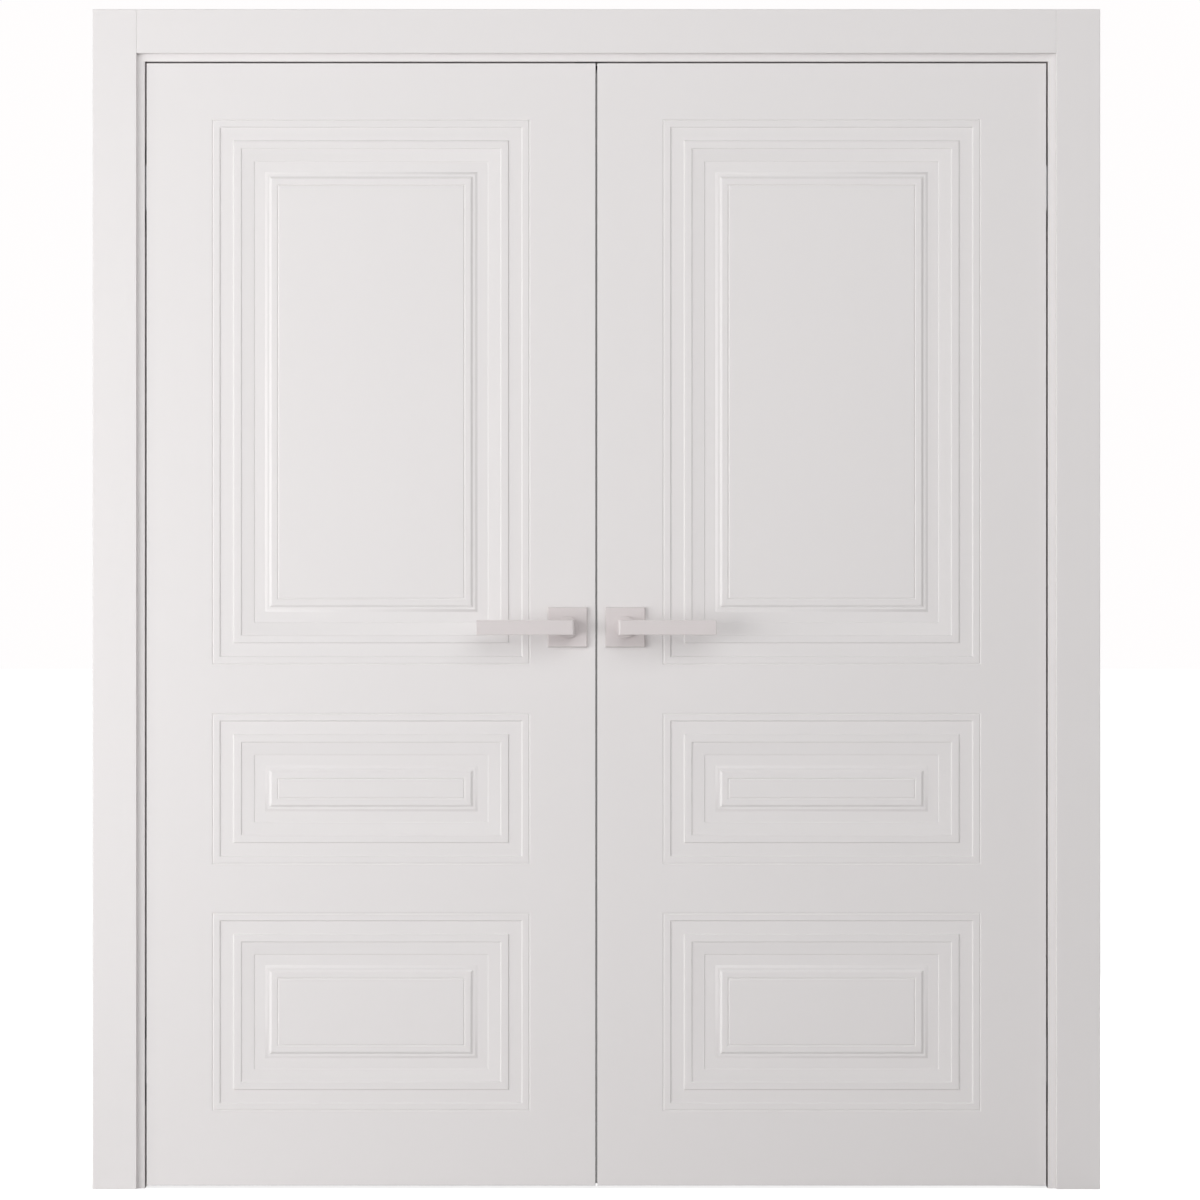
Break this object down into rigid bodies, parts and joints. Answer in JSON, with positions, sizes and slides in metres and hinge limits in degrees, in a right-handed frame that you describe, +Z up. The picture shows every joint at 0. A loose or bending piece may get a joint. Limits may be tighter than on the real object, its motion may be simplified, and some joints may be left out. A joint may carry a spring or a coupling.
{
  "type": "double panelled interior door with frame",
  "caption": "Pair of flush moulded-panel doors in a lined frame with casings on both sides, lever handles, concealed hinges and flush bolts.",
  "frame": {"origin": "on the floor, midway between the jambs, at the middle of the leaves' thickness", "axes": "+X to the right and +Y away from someone who faces the side that the leaves open to; +Z up"},
  "size_m": [1.793, 0.16, 2.1],
  "materials": {
    "white_enamel": "matt white enamel on fibreboard",
    "timber": "planed softwood",
    "core_board": "plain honeycomb board",
    "seal_rubber": "soft dark rubber",
    "handle_metal": "matt lacquered",
    "hinge_metal": "satin",
    "steel": "satin",
    "pocket_plastic": "matt"
  },
  "bodies": {
    "frame": {"left_jamb": "white_enamel", "right_jamb": "white_enamel", "head_jamb": "white_enamel", "left_stop_seal": "seal_rubber", "right_stop_seal": "seal_rubber", "head_stop_seal": "seal_rubber", "left_front_casing": "white_enamel", "right_front_casing": "white_enamel", "head_front_casing": "white_enamel", "left_back_casing": "white_enamel", "right_back_casing": "white_enamel", "head_back_casing": "white_enamel", "left_mitre_tongue": "timber", "right_mitre_tongue": "timber", "bolt_keeper": "steel", "left_lower_jamb_hinge_body": "hinge_metal", "left_upper_jamb_hinge_body": "hinge_metal", "right_lower_jamb_hinge_body": "hinge_metal", "right_upper_jamb_hinge_body": "hinge_metal"},
    "left_leaf": {"left_front_skin": "white_enamel", "left_back_skin": "white_enamel", "left_timber_frame": "timber", "left_leaf_core": "core_board", "left_lower_leaf_hinge_body": "hinge_metal", "left_upper_leaf_hinge_body": "hinge_metal", "left_front_rose": "handle_metal", "left_back_rose": "handle_metal", "left_meeting_seal": "seal_rubber", "strike_plate": "steel", "strike_box": "pocket_plastic", "top_bolt_case": "steel", "bottom_bolt_case": "steel"},
    "right_leaf": {"right_front_skin": "white_enamel", "right_back_skin": "white_enamel", "right_timber_frame": "timber", "right_leaf_core": "core_board", "right_lower_leaf_hinge_body": "hinge_metal", "right_upper_leaf_hinge_body": "hinge_metal", "right_front_rose": "handle_metal", "right_back_rose": "handle_metal", "right_meeting_seal": "seal_rubber", "latch_case": "steel", "latch_faceplate": "steel"},
    "left_hinge_arms": {"left_lower_hinge_arm": "hinge_metal", "left_upper_hinge_arm": "hinge_metal"},
    "right_hinge_arms": {"right_lower_hinge_arm": "hinge_metal", "right_upper_hinge_arm": "hinge_metal"},
    "left_lever_set": {"left_front_lever": "handle_metal", "left_back_lever": "handle_metal", "left_spindle": "steel"},
    "right_lever_set": {"right_front_lever": "handle_metal", "right_back_lever": "handle_metal", "right_spindle": "steel", "latch_follower": "steel"},
    "latch_bolt": {"latch_bolt": "steel"},
    "top_flush_bolt": {"top_flush_bolt": "steel"},
    "bottom_flush_bolt": {"bottom_flush_bolt": "steel"}
  },
  "joints": [
    {"name": "left_leaf_swing", "type": "hinge", "parent": "frame", "child": "left_leaf", "pos_m": [-0.803, -0.021, 1.005], "axis": [0, 0, -1], "range_deg": [0, 105]},
    {"name": "left_hinge_arms_turn", "type": "hinge", "parent": "frame", "child": "left_hinge_arms", "pos_m": [-0.803, -0.021, 1.005], "axis": [0, 0, -1], "range_deg": [0, 52.5]},
    {"name": "left_lever_turn", "type": "hinge", "parent": "left_leaf", "child": "left_lever_set", "pos_m": [-0.0515, 0, 1], "axis": [0, -1, 0], "range_deg": [0, 40], "stiffness_Nm_per_rad": 1.5, "springref_deg": -34.38},
    {"name": "right_leaf_swing", "type": "hinge", "parent": "frame", "child": "right_leaf", "pos_m": [0.803, -0.021, 1.005], "axis": [0, 0, 1], "range_deg": [0, 105]},
    {"name": "right_hinge_arms_turn", "type": "hinge", "parent": "frame", "child": "right_hinge_arms", "pos_m": [0.803, -0.021, 1.005], "axis": [0, 0, 1], "range_deg": [0, 52.5]},
    {"name": "right_lever_turn", "type": "hinge", "parent": "right_leaf", "child": "right_lever_set", "pos_m": [0.0515, 0, 1], "axis": [0, 1, 0], "range_deg": [0, 40], "stiffness_Nm_per_rad": 1.5, "springref_deg": -34.38},
    {"name": "latch_bolt_slide", "type": "slide", "parent": "right_leaf", "child": "latch_bolt", "axis": [-1, 0, 0], "range_m": [0, 0.01], "stiffness_N_per_m": 40, "springref_m": -0.01},
    {"name": "top_flush_bolt_slide", "type": "slide", "parent": "left_leaf", "child": "top_flush_bolt", "axis": [0, 0, 1], "range_m": [0, 0.015]},
    {"name": "bottom_flush_bolt_slide", "type": "slide", "parent": "left_leaf", "child": "bottom_flush_bolt", "axis": [0, 0, -1], "range_m": [0, 0.015]}
  ],
  "couplings": [
    {"joint": "left_hinge_arms_turn", "follows": "left_leaf_swing", "ratio": 0.5},
    {"joint": "right_hinge_arms_turn", "follows": "right_leaf_swing", "ratio": 0.5}
  ]
}
